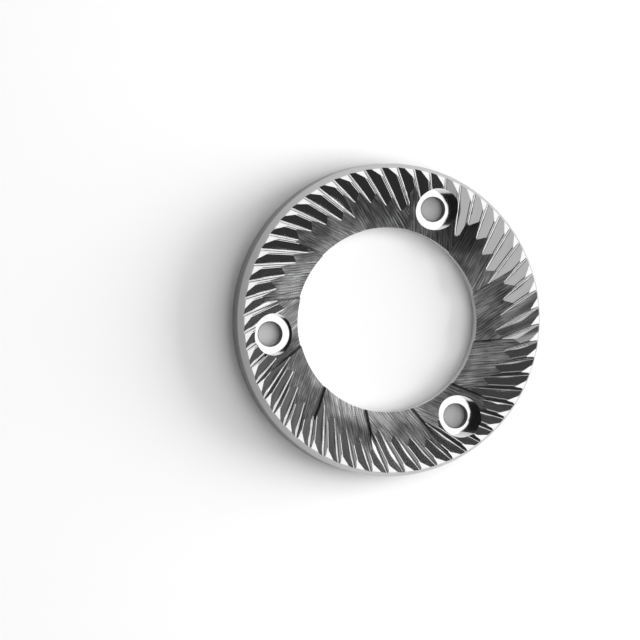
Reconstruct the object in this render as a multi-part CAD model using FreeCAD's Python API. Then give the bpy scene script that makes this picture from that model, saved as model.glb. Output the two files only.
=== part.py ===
import FreeCAD, Part
import math
import os
from FreeCAD import Placement, Rotation, Vector

# Grinding burr of a coffee grinder: one flat ring of hardened steel, cut
# with coarse feeding ramps, fine cutting grooves and three screw seats.
# It lies on its flat back. The origin is the middle of the back face, +Z
# points out of the toothed face, and +Y passes through the first screw hole.
# Lengths are in millimetres and angles in degrees.

# Ring
OUTER_DIAMETER = 80.0
BORE_DIAMETER = 47.4
THICKNESS = 9.2
RIM_BEVEL_WIDTH = 1.15
RIM_BEVEL_HEIGHT = 3.0
BACK_EDGE_BREAK = 0.3

# Seats for socket-head screws, evenly spaced on one circle
SCREW_COUNT = 3
SCREW_CIRCLE_DIAMETER = 61.8
FIRST_SCREW_ANGLE = 90.0
SCREW_HOLE_DIAMETER = 6.2
SCREW_HOLE_BREAK = 0.15
SCREW_HEAD_DIAMETER = 10.0
SCREW_HEAD_CLEARANCE = 0.35
SCREW_SEAT_DEPTH = 6.4

# Coarse ramps. Each is a patch of a cone whose axis stands beside the axis
# of the ring. It runs down to the foot of a leaning step, where the next
# ramp starts higher up. The foot line passes the axis of the ring at its
# line offset, and its depth is counted from the face, at the bore.
RAMP_COUNT = 12
RAMP_SLOPE = 28.1
RAMP_FOOT_DEPTH = 6.2
RAMP_AXIS_OFFSET = 4.56
RAMP_AXIS_TURN = 41.4
STEP_LINE_OFFSET = 8.0
STEP_WALL_ANGLE = 70.0
STEP_TURN_FROM_SCREW = -1.2

# Fine grooves. Each runs straight past the axis of the ring at its line
# offset and rises outwards. Its section has a steep wall, a round floor and
# a gentle wall, and its depth is counted to the sharp root of that section.
GROOVE_COUNT = 56
GROOVE_LINE_OFFSET = 15.64
GROOVE_RISE = 11.55
GROOVE_RIM_DEPTH = 0.59
GROOVE_FLOOR_RADIUS = 0.41
STEEP_WALL_ANGLE = 56.6
GENTLE_WALL_ANGLE = 24.6
GROOVE_TURN_FROM_SCREW = 0.29

# How far a cutting body passes the surfaces that it cuts through
OVERCUT = 1.0

FULL_TURN = 360.0
UP = Vector(0, 0, 1)
AXIS_POINT = Vector(0, 0, 0)

outer_radius = OUTER_DIAMETER / 2
bore_radius = BORE_DIAMETER / 2
face_radius = outer_radius - RIM_BEVEL_WIDTH
counterbore_radius = SCREW_HEAD_DIAMETER / 2 + SCREW_HEAD_CLEARANCE


def sin(angle):
    return math.sin(math.radians(angle))


def cos(angle):
    return math.cos(math.radians(angle))


def tan(angle):
    return math.tan(math.radians(angle))


def distance_along(radius, offset):
    """Distance from the foot of a line's offset to where it meets a radius."""
    return math.sqrt(max(radius ** 2 - offset ** 2, 0.0))


def revolved(outline):
    """Solid of revolution about Z from (radius, height) corners."""
    corners = [Vector(radius, 0, height) for radius, height in outline]
    section = Part.Face(Part.makePolygon(corners + corners[:1]))
    return section.revolve(AXIS_POINT, UP, FULL_TURN)


def blank():
    """Turned ring with a bevelled rim and broken edges at the back."""
    return revolved([
        (bore_radius + BACK_EDGE_BREAK, 0),
        (outer_radius - BACK_EDGE_BREAK, 0),
        (outer_radius, BACK_EDGE_BREAK),
        (outer_radius, THICKNESS - RIM_BEVEL_HEIGHT),
        (face_radius, THICKNESS),
        (bore_radius, THICKNESS),
        (bore_radius, BACK_EDGE_BREAK),
    ])


def half_space(origin, along, inward):
    """Block on the inward side of the plane through origin and along."""
    reach = 2 * OUTER_DIAMETER
    block = Part.makeBox(2 * reach, 2 * reach, reach, Vector(-reach, -reach, 0))
    side = inward.cross(along)
    block.Placement = Placement(origin, Rotation(along, side, inward, "XYZ"))
    return block


def ramp_cutter():
    """Body above one ramp, whose foot line runs along +X."""
    foot = Vector(
        distance_along(bore_radius, STEP_LINE_OFFSET),
        -STEP_LINE_OFFSET,
        THICKNESS - RAMP_FOOT_DEPTH,
    )
    axis = Vector(
        RAMP_AXIS_OFFSET * cos(RAMP_AXIS_TURN),
        RAMP_AXIS_OFFSET * sin(RAMP_AXIS_TURN),
        foot.z,
    )
    foot_reach = foot - axis
    apex = axis - UP * foot_reach.Length * tan(RAMP_SLOPE)
    height = THICKNESS + OVERCUT - apex.z
    funnel = Part.makeCone(0, height / tan(RAMP_SLOPE), height, apex, UP)

    # The step wall holds the foot line and leans back over the next ramp
    foot_slope = tan(RAMP_SLOPE) * foot_reach.x / foot_reach.Length
    along = Vector(1, 0, foot_slope).normalize()
    lean = Vector(0, 1 / tan(STEP_WALL_ANGLE), 1)
    before_step = half_space(foot, along, along.cross(lean).normalize())

    # The other side starts a little behind the foot of the step before
    pitch = FULL_TURN / RAMP_COUNT
    back_along = Vector(cos(pitch), -sin(pitch), 0)
    ahead = Vector(sin(pitch), cos(pitch), 0)
    behind = ahead * -(STEP_LINE_OFFSET + OVERCUT)
    after_last_step = half_space(behind, back_along, ahead)
    return funnel.common(before_step).common(after_last_step)


def groove_cutter():
    """Body that cuts one groove, whose root runs along +X and upwards."""
    at_face = distance_along(face_radius, GROOVE_LINE_OFFSET)
    start = distance_along(bore_radius, GROOVE_LINE_OFFSET) - OVERCUT
    end = distance_along(outer_radius, GROOVE_LINE_OFFSET) + OVERCUT
    top = GROOVE_RIM_DEPTH + (at_face - start) * tan(GROOVE_RISE) + OVERCUT

    # Section across the groove: Y to the steep wall, Z away from the floor
    half_opening = (180 - STEEP_WALL_ANGLE - GENTLE_WALL_ANGLE) / 2
    middle = STEEP_WALL_ANGLE + half_opening
    tangent = GROOVE_FLOOR_RADIUS / tan(half_opening)
    floor = GROOVE_FLOOR_RADIUS / sin(half_opening) - GROOVE_FLOOR_RADIUS
    steep_foot = Vector(0, cos(STEEP_WALL_ANGLE), sin(STEEP_WALL_ANGLE)) * tangent
    gentle_foot = Vector(0, -cos(GENTLE_WALL_ANGLE), sin(GENTLE_WALL_ANGLE)) * tangent
    floor_middle = Vector(0, cos(middle), sin(middle)) * floor
    steep_top = Vector(0, top / tan(STEEP_WALL_ANGLE), top)
    gentle_top = Vector(0, -top / tan(GENTLE_WALL_ANGLE), top)
    section = Part.Face(Part.Wire([
        Part.makeLine(gentle_top, gentle_foot),
        Part.Arc(gentle_foot, floor_middle, steep_foot).toShape(),
        Part.makeLine(steep_foot, steep_top),
        Part.makeLine(steep_top, gentle_top),
    ]))

    section.translate(Vector((start - at_face) / cos(GROOVE_RISE), 0, 0))
    body = section.extrude(Vector((end - start) / cos(GROOVE_RISE), 0, 0))
    along = Vector(cos(GROOVE_RISE), 0, sin(GROOVE_RISE))
    across = Vector(0, 1, 0)
    root = Vector(at_face, -GROOVE_LINE_OFFSET, THICKNESS - GROOVE_RIM_DEPTH)
    body.Placement = Placement(
        root, Rotation(along, across, along.cross(across), "XYZ")
    ).multiply(body.Placement)
    return body


def screw_cutter():
    """Stepped body of one screw hole and its counterbore, on +X."""
    hole_radius = SCREW_HOLE_DIAMETER / 2
    seat = THICKNESS - SCREW_SEAT_DEPTH
    body = revolved([
        (0, -OVERCUT),
        (hole_radius, -OVERCUT),
        (hole_radius, seat - SCREW_HOLE_BREAK),
        (hole_radius + SCREW_HOLE_BREAK, seat),
        (counterbore_radius, seat),
        (counterbore_radius, THICKNESS + OVERCUT),
        (0, THICKNESS + OVERCUT),
    ])
    body.translate(Vector(SCREW_CIRCLE_DIAMETER / 2, 0, 0))
    return body


def ring_of(cutter, count, first_angle):
    """Evenly turned copies of a cutting body about the axis of the ring."""
    copies = []
    for index in range(count):
        copy = cutter.copy()
        copy.rotate(AXIS_POINT, UP, first_angle + index * FULL_TURN / count)
        copies.append(copy)
    return copies


def burr():
    """The blank with its ramps, screw seats and grooves cut."""
    body = blank()
    cutters = ring_of(ramp_cutter(), RAMP_COUNT, FIRST_SCREW_ANGLE + STEP_TURN_FROM_SCREW)
    cutters += ring_of(screw_cutter(), SCREW_COUNT, FIRST_SCREW_ANGLE)
    cutters += ring_of(groove_cutter(), GROOVE_COUNT, FIRST_SCREW_ANGLE + GROOVE_TURN_FROM_SCREW)
    for cutter in cutters:
        body = body.cut(cutter)
    return body.removeSplitter()


def main():
    os.makedirs("parts", exist_ok=True)
    solids = burr().Solids
    if len(solids) != 1:
        raise ValueError("the cuts leave " + str(len(solids)) + " pieces of one ring")
    solids[0].exportStep("parts/burr.step")


main()
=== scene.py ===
import math
from collections import namedtuple

import bpy
from bpy.props import FloatProperty, FloatVectorProperty, PointerProperty
from mathutils import Euler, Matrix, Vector


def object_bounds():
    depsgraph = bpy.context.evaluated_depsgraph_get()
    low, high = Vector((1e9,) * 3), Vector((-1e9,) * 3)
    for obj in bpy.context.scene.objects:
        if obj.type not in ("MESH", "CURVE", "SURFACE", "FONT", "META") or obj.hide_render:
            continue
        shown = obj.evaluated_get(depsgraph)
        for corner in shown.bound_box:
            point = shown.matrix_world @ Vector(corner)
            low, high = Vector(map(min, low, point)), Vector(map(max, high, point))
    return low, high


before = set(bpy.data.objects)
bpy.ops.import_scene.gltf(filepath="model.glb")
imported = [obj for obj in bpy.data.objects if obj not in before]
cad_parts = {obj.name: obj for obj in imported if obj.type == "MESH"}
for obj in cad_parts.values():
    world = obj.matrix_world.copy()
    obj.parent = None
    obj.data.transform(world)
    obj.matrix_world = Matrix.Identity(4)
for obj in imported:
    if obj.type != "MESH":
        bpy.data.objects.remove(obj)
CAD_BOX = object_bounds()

bl_info = {
    "name": "Coffee Grinder Burr",
    "version": (1, 0, 0),
    "blender": (4, 5, 0),
    "location": "View3D > Sidebar > Burr",
    "description": "Machined steel finish and studio for a flat grinding burr",
    "category": "Object",
}

NODE = "burr"
MM = 0.001
FULL_TURN = 360.0

# Sizes of the ring that the finish follows, in millimetres and degrees. The
# ring lies on its back, and +Y passes through its first screw hole.
OUTER_RADIUS = CAD_BOX[1][0] / MM
THICKNESS = CAD_BOX[1][2] / MM
BORE_RADIUS = 23.7
RIM_BEVEL_WIDTH = 1.15
FACE_RADIUS = OUTER_RADIUS - RIM_BEVEL_WIDTH

# Screw seats
SCREW_COUNT = 3
FIRST_SCREW_ANGLE = 90.0
SCREW_CIRCLE_RADIUS = 30.9
SEAT_RADIUS = 5.35
HOLE_EDGE_RADIUS = 3.25

# Coarse ramps, each a patch of a cone whose axis stands beside the ring's
RAMP_COUNT = 12
RAMP_LINE_OFFSET = 8.0
RAMP_TURN = -1.2
RAMP_SLOPE = 28.1
RAMP_FOOT_DEPTH = 6.2
RAMP_AXIS_OFFSET = 4.56
RAMP_AXIS_TURN = 41.4

# Fine grooves. The steep wall takes its share of the way from crest to crest.
GROOVE_COUNT = 56
GROOVE_LINE_OFFSET = 15.64
GROOVE_TURN = 0.29
GROOVE_RISE = 11.55
STEEP_SHARE = 0.232

# Where the mask of an area goes from one end to the other. Slopes are the
# upward part of the surface's normal. Leans are the part that points away from
# the ring's axis on the rim, round the ring on a ramp and across a groove.
FLAT_SLOPES = (0.985, 0.995)
UPRIGHT_SLOPES = (0.1, 0.2)
BACK_SLOPES = (-0.9, -0.5)
STEP_LEAST_SLOPES = (0.25, 0.3)
STEP_MOST_SLOPES = (0.4, 0.45)
RIM_LEANS = (0.85, 0.9)
RAMP_LEAST_LEANS = (-0.2, -0.1)
RAMP_MOST_LEANS = (0.17, 0.21)
GENTLE_LEANS = (0.15, 0.3)
# The same for masks that end near a size of the ring, in millimetres from it
LAND_EDGE = (-0.3, -0.2)
RIM_EDGE = (-0.25, -0.05)
BORE_EDGE = (0.2, 0.3)
SEAT_EDGE = (0.05, 0.1)
HOLE_EDGE = (0.0, 0.03)

# The hollow of a gentle wall is at its widest this deep under the ramp. It
# narrows over this stretch, counted outwards from where the bevel starts.
HOLLOW_FULL_DEPTH = 1.6
HOLLOW_NARROWING = (-8.0, 0.5)
# Slope of the rounding at a crest, on the steep and on the gentle side
CREST_SLOPES = (1.2, 0.45)

# Patterns of the steel. The rates tell how often one changes in a millimetre:
# on a ramp or a groove along it, across it and upwards.
Pattern = namedtuple("Pattern", "rates seed detail")
GRINDING_LINES = Pattern((0.12, 5.0, 5.0), 7.3, 3.0)
GROOVE_WAVES = Pattern((0.12, 0.45, 0.0), 2.3, 0.0)
PASS_JITTER = Pattern((0.15, 0.9, 0.3), 6.7, 2.0)
RAMP_STREAKS = Pattern((0.2, 2.4, 0.3), 3.1, 3.0)
RAMP_STRANDS = Pattern((0.35, 6.0, 0.5), 5.3, 3.0)
RAMP_PATCHES = Pattern((0.25, 0.6, 0.3), 1.7, 2.0)
# These two follow the ring's own directions, across all of its ramps
PASS_DRIFT = Pattern((0.2, 0.2, 0.2), 8.2, 0.0)
RAMP_CLOUDS = Pattern((0.12, 0.12, 0.12), 1.7, 2.0)
# Turning lines follow the radius, the height and the turn about the ring's
# axis, and on a seat the distance from its screw
TURNING_LINES = Pattern((6.0, 6.0, 0.4), 4.1, 3.0)
FACING_LINES = Pattern((5.0, 0.0, 0.0), 2.9, 3.0)
# What a pattern does goes from one end to the other between these values
STREAK_ENDS = (0.3, 0.7)
PATCH_ENDS = (0.35, 0.65)

# How light each area is, beside the colour of its steel. The rim's bevel and wall, the step
# walls, the seat walls and the hole edges are darkened as painted shade; the bore wall is made
# lighter.
BEVEL_PAINTED_SHADE = 0.72
RIM_WALL_PAINTED_SHADE = 0.55
BORE_TONE = 1.3
STEP_WALL_PAINTED_SHADE = 0.3
SEAT_WALL_PAINTED_SHADE = 0.5
HOLE_EDGE_PAINTED_SHADE = 0.2

# How far each pattern darkens and lightens the steel
FINE_TONES = (0.92, 1.08)
STREAK_TONES = (0.65, 1.35)
CLOUD_TONES = (0.55, 1.45)
# Painted light and shade on a ramp: lightest at its foot and darkest where it meets the grooves
FOOT_PAINTED_LIGHT = 1.25
OUTER_PAINTED_SHADE = 0.75
FOOT_RADIUS = 24.0
DARKEST_RADIUS = 33.0

# Roughness of each area. Two values are the ends of its range.
GROUND_ROUGHNESS = (0.1, 0.13)
MILLED_ROUGHNESS = (0.28, 0.38)
LAND_ROUGHNESS = 0.25
SEAT_ROUGHNESS = 0.1
TURNED_ROUGHNESS = 0.3

# The hatch of a ramp: its passes and feed marks, how far they wander, and how
# much it shows outside and inside its patches
PASS_SHARE = 0.65
FEED_SHARE = 0.25
DRIFT_PHASE = 3.0
JITTER_PHASE = 9.0
HATCH_TONES = (0.15, 0.65)
HATCH_DEPTHS = (0.3, 0.8)

# Depth of each kind of mark, beside the mark depth that the user sets
STREAK_DEPTH = 1.5
STRAND_DEPTH = 0.8
WAVE_DEPTH = 2.2
FACING_DEPTH = 0.1
TURNING_DEPTH = 0.5

# The studio, in metres. In the camera's picture its x runs to the right and its
# y upwards. Both are turned this far about the ring's axis.
STUDIO_TURN = math.radians(23.36)
SOFTBOX_HEIGHT = 1.3
# Left, right, near and far edge of each softbox, seen from above
KEY_EDGES = (0.08, 1.8, -1.2, 1.22)
BACK_EDGES = (-0.58, 0.08, 0.45, 0.98)
LEFT_EDGES = (-1.1, -0.68, -0.62, 0.72)
FLOOR_LIGHT_PLACE = (1.9, 0.1, 0.66)
FLOOR_LIGHT_SIZE = (1.4, 1.0)
FLOOR_FILL_PLACE = (-0.9, 0.0, 1.3)
FLOOR_FILL_SIZE = (1.2, 1.2)
FLOOR_SIZE = 8.0
FLOOR_ROUGHNESS = 0.9
FLOOR_GLOSS = 0.1
# The bright band of the room: its top as the upward part of a direction, and
# how it brightens towards the far right corner
BAND_TOP = 0.52
CORNER_TURN = math.radians(45)
CORNER_ENDS = (-0.3, 1.0)
BAND_SHARES = (0.35, 1.6)
# A faint glow on the far side of the room
GLOW_ENDS = (0.3, 0.9)
FAR_GLOW = 0.03
CAMERA_NEAREST = 0.01
CAMERA_FARTHEST = 20.0


class Number:
    """A number in a node tree that Python arithmetic works on."""

    def __init__(self, tree, socket):
        self.tree = tree
        self.socket = socket

    def __add__(self, other):
        return self.tree.math("ADD", self, other)

    __radd__ = __add__

    def __mul__(self, other):
        return self.tree.math("MULTIPLY", self, other)

    __rmul__ = __mul__

    def __sub__(self, other):
        return self.tree.math("SUBTRACT", self, other)

    def __rsub__(self, other):
        return self.tree.math("SUBTRACT", other, self)

    def __truediv__(self, other):
        return self.tree.math("DIVIDE", self, other)

    def __rtruediv__(self, other):
        return self.tree.math("DIVIDE", other, self)


class Tree:
    """The nodes of one material or world."""

    def __init__(self, owner):
        owner.use_nodes = True
        self.nodes = owner.node_tree.nodes
        self.links = owner.node_tree.links
        self.nodes.clear()

    def node(self, kind, settings=None, inputs=None):
        """A new node: its settings first, then the values or links of its sockets."""
        made = self.nodes.new(kind)
        for name, value in (settings or {}).items():
            setattr(made, name, value)
        for name, value in (inputs or {}).items():
            if isinstance(value, Number):
                value = value.socket
            if isinstance(value, bpy.types.NodeSocket):
                self.links.new(value, made.inputs[name])
            else:
                made.inputs[name].default_value = value
        return made

    def math(self, operation, *values):
        made = self.node("ShaderNodeMath", {"operation": operation}, dict(enumerate(values)))
        return Number(self, made.outputs[0])

    def larger(self, first, second):
        return self.math("MAXIMUM", first, second)

    def smaller(self, first, second):
        return self.math("MINIMUM", first, second)

    def length(self, x, y):
        return self.math("SQRT", x * x + y * y)

    def split(self, vector):
        made = self.node("ShaderNodeSeparateXYZ", inputs={0: vector})
        return [Number(self, output) for output in made.outputs]

    def joined(self, x, y, z):
        return self.node("ShaderNodeCombineXYZ", inputs={0: x, 1: y, 2: z}).outputs[0]

    def scaled(self, vector, share):
        """A vector or colour times a number."""
        made = self.node(
            "ShaderNodeVectorMath", {"operation": "SCALE"}, {"Vector": vector, "Scale": share}
        )
        return made.outputs[0]

    def noise(self, place, pattern, index=1.0):
        """Smooth noise between 0 and 1 in a pattern, a different one for each index."""
        vector = self.joined(*[value * rate for value, rate in zip(place, pattern.rates)])
        made = self.node(
            "ShaderNodeTexNoise",
            {"noise_dimensions": "4D"},
            {
                "Vector": vector,
                "W": index * pattern.seed,
                "Scale": 1.0,
                "Detail": pattern.detail,
            },
        )
        return Number(self, made.outputs[0])

    def step(self, value, low, high, start=0.0, end=1.0):
        """Runs smoothly from start to end while value goes from low to high."""
        made = self.node(
            "ShaderNodeMapRange",
            {"interpolation_type": "SMOOTHSTEP"},
            {"Value": value, "From Min": low, "From Max": high, "To Min": start, "To Max": end},
        )
        return Number(self, made.outputs[0])

    def beyond(self, value, size, edge):
        """1 where a value is past a size and 0 below it."""
        return self.step(value, size + edge[0], size + edge[1])

    def within(self, value, size, edge):
        """1 where a value is below a size and 0 past it."""
        return self.step(value, size + edge[0], size + edge[1], 1.0, 0.0)

    def mixed(self, share, first, second):
        """The first colour where share is 0 and the second where it is 1."""
        made = self.node(
            "ShaderNodeMix", {"data_type": "RGBA"}, {0: share, 6: first, 7: second}
        )
        return made.outputs[2]


def blended(share, first, second):
    """The first number where share is 0 and the second where it is 1."""
    return first + share * (second - first)


def opaque(colour):
    return tuple(colour) + (1.0,)


def new_material(name):
    material = bpy.data.materials.new(name)
    return material, Tree(material)


def distance_along(radius, offset):
    """Distance from the foot of a line's offset to where the line meets a radius."""
    return math.sqrt(radius ** 2 - offset ** 2)


def ramp_cone():
    """Axis of a ramp's cone, along and across the ramp, and the height of its point."""
    turn = math.radians(RAMP_AXIS_TURN)
    axis = (RAMP_AXIS_OFFSET * math.cos(turn), RAMP_AXIS_OFFSET * math.sin(turn))
    foot = (distance_along(BORE_RADIUS, RAMP_LINE_OFFSET), -RAMP_LINE_OFFSET)
    drop = math.dist(foot, axis) * math.tan(math.radians(RAMP_SLOPE))
    return axis, THICKNESS - RAMP_FOOT_DEPTH - drop


class Point:
    """Where a point of the ring lies, in millimetres, and how its surface faces."""

    def __init__(self, tree):
        place = tree.node("ShaderNodeTexCoord").outputs["Object"]
        facing = tree.node("ShaderNodeNewGeometry").outputs["True Normal"]
        self.x, self.y, self.z = tree.split(tree.scaled(place, 1 / MM))
        self.nx, self.ny, self.nz = tree.split(facing)
        self.radius = tree.length(self.x, self.y)
        self.turn = tree.math("ARCTAN2", self.y, self.x)
        self.outward = (self.nx * self.x + self.ny * self.y) / self.radius
        self.sideways = (self.ny * self.x - self.nx * self.y) / self.radius
        self.place = (self.x, self.y, self.z)


class Line:
    """The line that a point belongs to, of equal lines past the ring's axis.

    Lead tells how far before a line, in parts of their spacing, its own area starts.
    """

    def __init__(self, tree, point, offset, count, first_angle, lead):
        first = math.radians(first_angle)
        pitch = math.radians(FULL_TURN / count)
        reach = tree.math("ARCSINE", tree.smaller(offset / point.radius, 1.0))
        share = (point.turn + reach - first) / pitch + lead
        self.index = tree.math("FLOOR", share)
        angle = self.index * pitch + first
        cosine = tree.math("COSINE", angle)
        sine = tree.math("SINE", angle)
        self.along = point.x * cosine + point.y * sine
        self.across = point.y * cosine - point.x * sine
        self.facing = point.ny * cosine - point.nx * sine
        self.place = (self.along, self.across, point.z)
        # How far the point is from the nearer end of the line's own area
        share = share - self.index
        self.from_end = tree.smaller(share, 1 - share) * pitch * self.along


class Areas:
    """Which area of the ring a point lies in, as numbers between 0 and 1."""

    def __init__(self, tree, point, groove_line, from_screw):
        slope = point.nz
        self.flat = tree.step(slope, *FLAT_SLOPES)
        self.upright = 1 - tree.step(tree.math("ABSOLUTE", slope), *UPRIGHT_SLOPES)
        self.back = tree.step(slope, *BACK_SLOPES, 1.0, 0.0)
        self.land = self.flat * tree.beyond(point.z, THICKNESS, LAND_EDGE)
        outside = tree.beyond(point.radius, FACE_RADIUS, RIM_EDGE)
        self.rim = outside * tree.step(point.outward, *RIM_LEANS)
        self.bore = tree.within(point.radius, BORE_RADIUS, BORE_EDGE) * self.upright
        self.turned = tree.larger(self.rim, tree.larger(self.bore, self.back))

        self.in_seat = tree.within(from_screw, SEAT_RADIUS, SEAT_EDGE)
        self.seat = self.in_seat * self.flat
        self.seat_wall = self.in_seat * self.upright
        self.hole = tree.within(from_screw, HOLE_EDGE_RADIUS, HOLE_EDGE)

        # A ramp hardly leans round the ring, and its step wall has a slope of its own
        open_face = (1 - self.flat) * (1 - self.upright) * (1 - self.rim) * (1 - self.back)
        self.ramp = (
            tree.step(point.sideways, *RAMP_LEAST_LEANS)
            * tree.step(point.sideways, *RAMP_MOST_LEANS, 1.0, 0.0)
            * open_face
        )
        self.step_wall = (
            tree.step(slope, *STEP_LEAST_SLOPES)
            * tree.step(slope, *STEP_MOST_SLOPES, 1.0, 0.0)
            * (1 - self.rim)
        )
        self.groove = (1 - self.ramp) * open_face * (1 - self.step_wall)
        self.gentle = tree.step(groove_line.facing, *GENTLE_LEANS) * self.groove


def screw_distance(tree, point):
    """Distance from the axis of the nearest screw hole."""
    line = Line(tree, point, 0.0, SCREW_COUNT, FIRST_SCREW_ANGLE, 0.5)
    return tree.length(line.along - SCREW_CIRCLE_RADIUS, line.across)


def wall_hollow(tree, point, groove_line, ramp_line, areas, settings):
    """Height that a gentle wall gains beside the groove's floor, in millimetres.

    It is widest halfway along the groove, and narrow at the ramp and at the rim.
    """
    axis, apex_height = ramp_cone()
    cone_reach = tree.length(ramp_line.along - axis[0], ramp_line.across - axis[1])
    under_ramp = apex_height + cone_reach * math.tan(math.radians(RAMP_SLOPE)) - point.z
    rim_reach = distance_along(FACE_RADIUS, GROOVE_LINE_OFFSET)
    before_rim = tree.within(groove_line.along, rim_reach, HOLLOW_NARROWING)
    widening = tree.step(under_ramp, 0.0, HOLLOW_FULL_DEPTH) * before_rim
    width = settings.least_hollow + settings.hollow_width * widening

    from_root = tree.larger(-1 * (groove_line.across + GROOVE_LINE_OFFSET), 0.0)
    nearness = tree.larger(1 - from_root / width, 0.0)
    return areas.gentle * nearness * nearness * width * (settings.hollow_slope / 2)


def crest_rounding(tree, groove_line, areas, settings):
    """Depth by which the ridge between two grooves isn't sharp, in millimetres."""
    nearness = tree.larger(1 - groove_line.from_end / settings.crest_width, 0.0)
    rounding = areas.groove * nearness * nearness * (settings.crest_width / 2)
    return rounding * blended(areas.gentle, *CREST_SLOPES)


def mill_marks_and_painted_light(tree, point, line, settings):
    """Tone, height and roughness of the milled ramps, with painted light at each ramp's foot and
    painted shade towards the grooves.
    """
    drift = tree.noise(point.place, PASS_DRIFT) * DRIFT_PHASE
    jitter = tree.noise(line.place, PASS_JITTER) * JITTER_PHASE
    pass_phase = line.across * (2 * math.pi / settings.pass_pitch)
    passes = tree.math("SINE", pass_phase + drift + jitter)
    feed_phase = line.along * (2 * math.pi / settings.feed_pitch)
    feed = tree.math("SINE", feed_phase + drift + passes)
    hatch = passes * PASS_SHARE + feed * FEED_SHARE

    streaks = tree.noise(line.place, RAMP_STREAKS, line.index)
    strands = tree.noise(line.place, RAMP_STRANDS, line.index)
    in_patch = tree.step(tree.noise(line.place, RAMP_PATCHES, line.index), *PATCH_ENDS)
    clouds = tree.noise(point.place, RAMP_CLOUDS)

    tone = (
        blended(tree.step(streaks, *STREAK_ENDS), *STREAK_TONES)
        * blended(tree.step(strands, *STREAK_ENDS), *STREAK_TONES)
        * (1 + hatch * blended(in_patch, *HATCH_TONES))
        * blended(tree.step(clouds, *PATCH_ENDS), *CLOUD_TONES)
        # Painted light at the ramp's foot and painted shade where it meets the grooves
        * tree.step(point.radius, FOOT_RADIUS, DARKEST_RADIUS, FOOT_PAINTED_LIGHT, OUTER_PAINTED_SHADE)
    )
    height = (
        hatch * blended(in_patch, *HATCH_DEPTHS)
        + streaks * STREAK_DEPTH
        + strands * STRAND_DEPTH
    )
    return tone, height, blended(streaks, *MILLED_ROUGHNESS)


def grinding_marks(tree, point, line):
    """Tone, height and roughness of the ground grooves."""
    # Grinding lines run along a groove and rise with it
    rise = point.z - line.along * math.tan(math.radians(GROOVE_RISE))
    ground = tree.noise((line.along, line.across, rise), GRINDING_LINES, line.index)
    # Each groove is ground a little unevenly along its length
    waves = tree.noise(line.place, GROOVE_WAVES, line.index)
    return blended(ground, *FINE_TONES), waves * WAVE_DEPTH, blended(ground, *GROUND_ROUGHNESS)


def burr_steel(settings):
    """Hardened steel with turned, ground and milled areas told apart by their place, with
    painted shade on some walls and painted light at the foot of each ramp.
    """
    material, tree = new_material("hardened_steel")
    point = Point(tree)
    groove_line = Line(
        tree, point, GROOVE_LINE_OFFSET, GROOVE_COUNT,
        FIRST_SCREW_ANGLE + GROOVE_TURN, 1 - STEEP_SHARE,
    )
    ramp_line = Line(
        tree, point, RAMP_LINE_OFFSET, RAMP_COUNT, FIRST_SCREW_ANGLE + RAMP_TURN, 1.0
    )
    from_screw = screw_distance(tree, point)
    areas = Areas(tree, point, groove_line, from_screw)

    ramp_tone, ramp_height, ramp_roughness = mill_marks_and_painted_light(tree, point, ramp_line, settings)
    ground_tone, ground_height, ground_roughness = grinding_marks(tree, point, groove_line)
    # Turning lines run round the ring, and round a hole on its seat
    turned = tree.noise((point.radius, point.z, point.turn), TURNING_LINES)
    faced = tree.noise((from_screw, 0.0, 0.0), FACING_LINES)

    colour = tree.mixed(
        areas.ramp, opaque(settings.steel_colour), opaque(settings.ramp_colour)
    )
    colour = tree.mixed(
        tree.larger(areas.land, areas.seat), colour, opaque(settings.land_colour)
    )
    tone = blended(areas.ramp, ground_tone, ramp_tone)
    tone = blended(areas.turned, tone, blended(turned, *FINE_TONES))
    # Painted shade darkens the rim's bevel and wall, the step walls, the hole edges and the seat
    # walls; the bore wall is made lighter
    for area, area_tone in (
        (areas.rim, blended(areas.upright, BEVEL_PAINTED_SHADE, RIM_WALL_PAINTED_SHADE)),
        (areas.bore, BORE_TONE),
        (areas.step_wall, STEP_WALL_PAINTED_SHADE),
        (areas.hole, HOLE_EDGE_PAINTED_SHADE),
        (areas.seat_wall, SEAT_WALL_PAINTED_SHADE),
    ):
        tone = tone * blended(area, 1.0, area_tone)

    roughness = blended(areas.ramp, ground_roughness, ramp_roughness)
    for area, area_roughness in (
        (areas.land, LAND_ROUGHNESS),
        (areas.in_seat, SEAT_ROUGHNESS),
        (areas.turned, TURNED_ROUGHNESS),
    ):
        roughness = blended(area, roughness, area_roughness)

    marks = (
        areas.ramp * ramp_height
        + areas.groove * ground_height
        + areas.seat * faced * FACING_DEPTH
        + (areas.rim + areas.back) * turned * TURNING_DEPTH
    )
    hollow = wall_hollow(tree, point, groove_line, ramp_line, areas, settings)
    crest = crest_rounding(tree, groove_line, areas, settings)
    height = marks * settings.mark_depth + hollow - crest
    bump = tree.node(
        "ShaderNodeBump", inputs={"Strength": 1.0, "Distance": MM, "Height": height}
    ).outputs[0]

    shader = tree.node(
        "ShaderNodeBsdfPrincipled",
        inputs={
            "Base Color": tree.scaled(colour, tone),
            "Metallic": 1.0,
            "Roughness": roughness,
            "Normal": bump,
        },
    )
    tree.node("ShaderNodeOutputMaterial", inputs={"Surface": shader.outputs[0]})
    return material


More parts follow.
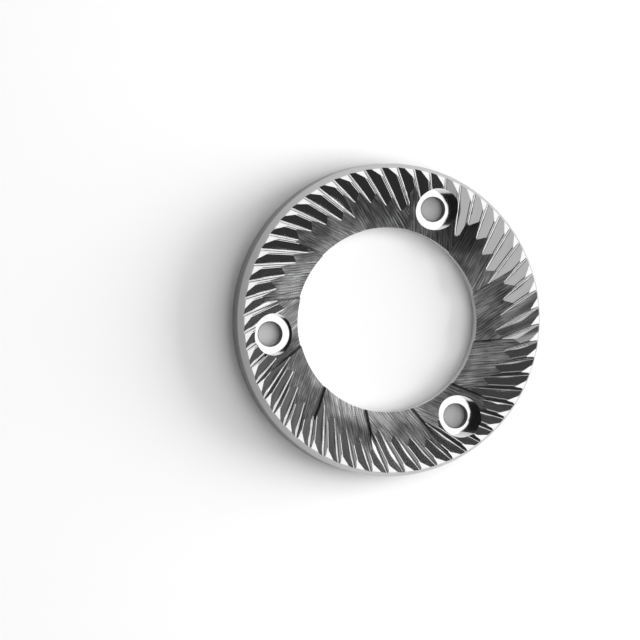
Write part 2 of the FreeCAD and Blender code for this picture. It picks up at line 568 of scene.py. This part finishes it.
class BurrFinishSettings(bpy.types.PropertyGroup):
    """Colours and machining marks of the steel."""

    steel_colour: FloatVectorProperty(
        name="Steel", description="Colour of the ground grooves and the turned rim",
        subtype="COLOR", size=3, min=0, max=1, default=(0.65, 0.65, 0.655),
    )
    ramp_colour: FloatVectorProperty(
        name="Ramps", description="Colour of the milled ramps",
        subtype="COLOR", size=3, min=0, max=1, default=(0.37, 0.37, 0.375),
    )
    land_colour: FloatVectorProperty(
        name="Lands", description="Colour of the lands and the screw seats",
        subtype="COLOR", size=3, min=0, max=1, default=(0.53, 0.53, 0.53),
    )
    pass_pitch: FloatProperty(
        name="Pass pitch", description="Spacing of the mill's passes on a ramp, in mm",
        default=0.62, min=0.1, max=2.0,
    )
    feed_pitch: FloatProperty(
        name="Feed pitch", description="Spacing of the feed marks along a pass, in mm",
        default=0.56, min=0.1, max=2.0,
    )
    least_hollow: FloatProperty(
        name="Least hollow", description="Width of the hollow at a groove's ends, in mm",
        default=0.35, min=0.01, max=3.0,
    )
    hollow_width: FloatProperty(
        name="Hollow width", description="What the hollow gains in width halfway along, in mm",
        default=1.25, min=0.0, max=3.0,
    )
    hollow_slope: FloatProperty(
        name="Hollow slope", description="How much flatter the wall is beside the floor",
        default=0.12, min=0.0, max=0.5,
    )
    crest_width: FloatProperty(
        name="Crest width", description="Width of the rounding beside a crest, in mm",
        default=0.13, min=0.01, max=1.0,
    )
    mark_depth: FloatProperty(
        name="Mark depth", description="Depth of the machining marks, in mm",
        default=0.02, min=0.0, max=0.2,
    )


class StudioSettings(bpy.types.PropertyGroup):
    """Floor, softboxes and camera."""

    floor_colour: FloatVectorProperty(
        name="Floor", description="Colour of the floor",
        subtype="COLOR", size=3, min=0, max=1, default=(0.93, 0.93, 0.93),
    )
    key_light: FloatProperty(
        name="Key softbox", description="Brightness of the wide softbox above the right side",
        default=1.9, min=0.0, max=20.0,
    )
    left_light: FloatProperty(
        name="Left softbox", description="Brightness of the narrow softbox at the left",
        default=0.66, min=0.0, max=20.0,
    )
    back_light: FloatProperty(
        name="Back softbox", description="Brightness of the softbox between the other two",
        default=0.85, min=0.0, max=20.0,
    )
    low_light: FloatProperty(
        name="Low light", description="Brightness of the room just above the floor",
        default=0.6, min=0.0, max=5.0,
    )
    floor_light: FloatProperty(
        name="Floor light", description="Brightness of the light from the right on the floor",
        default=13.0, min=0.0, max=50.0,
    )
    floor_fill: FloatProperty(
        name="Floor fill", description="Brightness of the light from above on the floor",
        default=0.4, min=0.0, max=50.0,
    )
    room_light: FloatProperty(
        name="Room", description="Brightness of the room behind the softboxes",
        default=0.035, min=0.0, max=5.0,
    )
    lens: FloatProperty(
        name="Lens", description="Focal length of the camera, in mm",
        default=235.1, min=10.0, max=500.0,
    )
    camera_place: FloatVectorProperty(
        name="Camera place", description="Where the camera stands", subtype="TRANSLATION",
        unit="LENGTH", size=3, default=(-0.25933, -0.09011, 1.0394),
    )
    camera_turn: FloatVectorProperty(
        name="Camera turn", description="How the camera is turned", subtype="EULER",
        unit="ROTATION", size=3,
        default=tuple(math.radians(angle) for angle in (-1.112, -13.88, 23.495)),
    )


def studio_point(x, y, z):
    """The place of a point that is given in the studio's directions."""
    cosine, sine = math.cos(STUDIO_TURN), math.sin(STUDIO_TURN)
    return Vector((x * cosine - y * sine, x * sine + y * cosine, z))


def area_light(name, place, size, radiance):
    """A rectangular light that shows the given brightness in a mirror."""
    width, length = size
    light = bpy.data.lights.new(name, "AREA")
    light.shape = "RECTANGLE"
    light.size = width
    light.size_y = length
    light.energy = radiance * math.pi * width * length
    lamp = bpy.data.objects.new(name, light)
    bpy.context.scene.collection.objects.link(lamp)
    lamp.location = place
    return lamp


def softbox(name, edges, radiance):
    """A level softbox between its four edges, facing down."""
    left, right, near, far = edges
    place = studio_point((left + right) / 2, (near + far) / 2, SOFTBOX_HEIGHT)
    lamp = area_light(name, place, (right - left, far - near), radiance)
    lamp.rotation_euler = Euler((0, 0, STUDIO_TURN))


def floor_lamp(name, place, size, radiance):
    """A light on the floor, aimed at the ring, that the steel doesn't mirror."""
    lamp = area_light(name, studio_point(*place), size, radiance)
    lamp.rotation_euler = (-lamp.location).to_track_quat("-Z", "Y").to_euler()
    lamp.visible_glossy = False


def make_floor(settings):
    """A plain pale floor under the ring."""
    bpy.ops.mesh.primitive_plane_add(size=FLOOR_SIZE)
    floor = bpy.context.object
    floor.name = "floor"
    material, tree = new_material("pale_floor")
    shader = tree.node(
        "ShaderNodeBsdfPrincipled",
        inputs={
            "Base Color": opaque(settings.floor_colour),
            "Roughness": FLOOR_ROUGHNESS,
            "Specular IOR Level": FLOOR_GLOSS,
        },
    )
    tree.node("ShaderNodeOutputMaterial", inputs={"Surface": shader.outputs[0]})
    floor.data.materials.append(material)


def make_room(settings):
    """A room that is bright low down, most of all towards the far right corner."""
    world = bpy.data.worlds.new("studio_room")
    bpy.context.scene.world = world
    room = Tree(world)
    direction = room.node("ShaderNodeTexCoord").outputs["Generated"]
    east, north, up = room.split(direction)
    corner = STUDIO_TURN + CORNER_TURN
    to_corner = east * math.cos(corner) + north * math.sin(corner)
    away = north * math.cos(STUDIO_TURN) - east * math.sin(STUDIO_TURN)
    band = room.step(up, 0.0, BAND_TOP, 1.0, 0.0)
    band = band * room.step(to_corner, *CORNER_ENDS, *BAND_SHARES)
    glow = room.step(away, *GLOW_ENDS) * FAR_GLOW
    brightness = settings.room_light + band * settings.low_light + glow
    background = room.node(
        "ShaderNodeBackground", inputs={"Color": room.joined(brightness, brightness, brightness)}
    )
    room.node("ShaderNodeOutputWorld", inputs={"Surface": background.outputs[0]})


def make_camera(settings):
    """A long lens that looks down on the ring from the left."""
    camera = bpy.data.cameras.new("camera")
    camera.lens = settings.lens
    camera.clip_start = CAMERA_NEAREST
    camera.clip_end = CAMERA_FARTHEST
    stand = bpy.data.objects.new("camera", camera)
    bpy.context.scene.collection.objects.link(stand)
    stand.location = settings.camera_place
    stand.rotation_euler = settings.camera_turn
    bpy.context.scene.camera = stand
    bpy.context.scene.view_settings.view_transform = "Standard"


class BURR_OT_finish(bpy.types.Operator):
    """Gives the burr its machined steel"""

    bl_idname = "burr.finish"
    bl_label = "Finish the burr"

    def execute(self, context):
        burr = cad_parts[NODE]
        material = burr_steel(context.scene.burr_finish)
        burr.data.materials.clear()
        burr.data.materials.append(material)
        return {"FINISHED"}


class BURR_OT_stage(bpy.types.Operator):
    """Makes the floor, the softboxes and the camera"""

    bl_idname = "burr.stage"
    bl_label = "Set the stage"

    def execute(self, context):
        settings = context.scene.burr_studio
        make_floor(settings)
        softbox("key_softbox", KEY_EDGES, settings.key_light)
        softbox("back_softbox", BACK_EDGES, settings.back_light)
        softbox("left_softbox", LEFT_EDGES, settings.left_light)
        floor_lamp("floor_light", FLOOR_LIGHT_PLACE, FLOOR_LIGHT_SIZE, settings.floor_light)
        floor_lamp("floor_fill", FLOOR_FILL_PLACE, FLOOR_FILL_SIZE, settings.floor_fill)
        make_room(settings)
        make_camera(settings)
        return {"FINISHED"}


class BURR_PT_panel(bpy.types.Panel):
    """Sidebar panel of the burr"""

    bl_idname = "BURR_PT_panel"
    bl_label = "Coffee Grinder Burr"
    bl_space_type = "VIEW_3D"
    bl_region_type = "UI"
    bl_category = "Burr"

    def draw(self, context):
        layout = self.layout
        for settings, operator in (
            (context.scene.burr_finish, "burr.finish"),
            (context.scene.burr_studio, "burr.stage"),
        ):
            for name in settings.__annotations__:
                layout.prop(settings, name)
            layout.operator(operator)


CLASSES = (BurrFinishSettings, StudioSettings, BURR_OT_finish, BURR_OT_stage, BURR_PT_panel)


def register():
    for cls in CLASSES:
        bpy.utils.register_class(cls)
    bpy.types.Scene.burr_finish = PointerProperty(type=BurrFinishSettings)
    bpy.types.Scene.burr_studio = PointerProperty(type=StudioSettings)


def unregister():
    del bpy.types.Scene.burr_studio
    del bpy.types.Scene.burr_finish
    for cls in reversed(CLASSES):
        bpy.utils.unregister_class(cls)


def main():
    register()
    bpy.ops.burr.finish()
    bpy.ops.burr.stage()


if __name__ == "__main__":
    main()
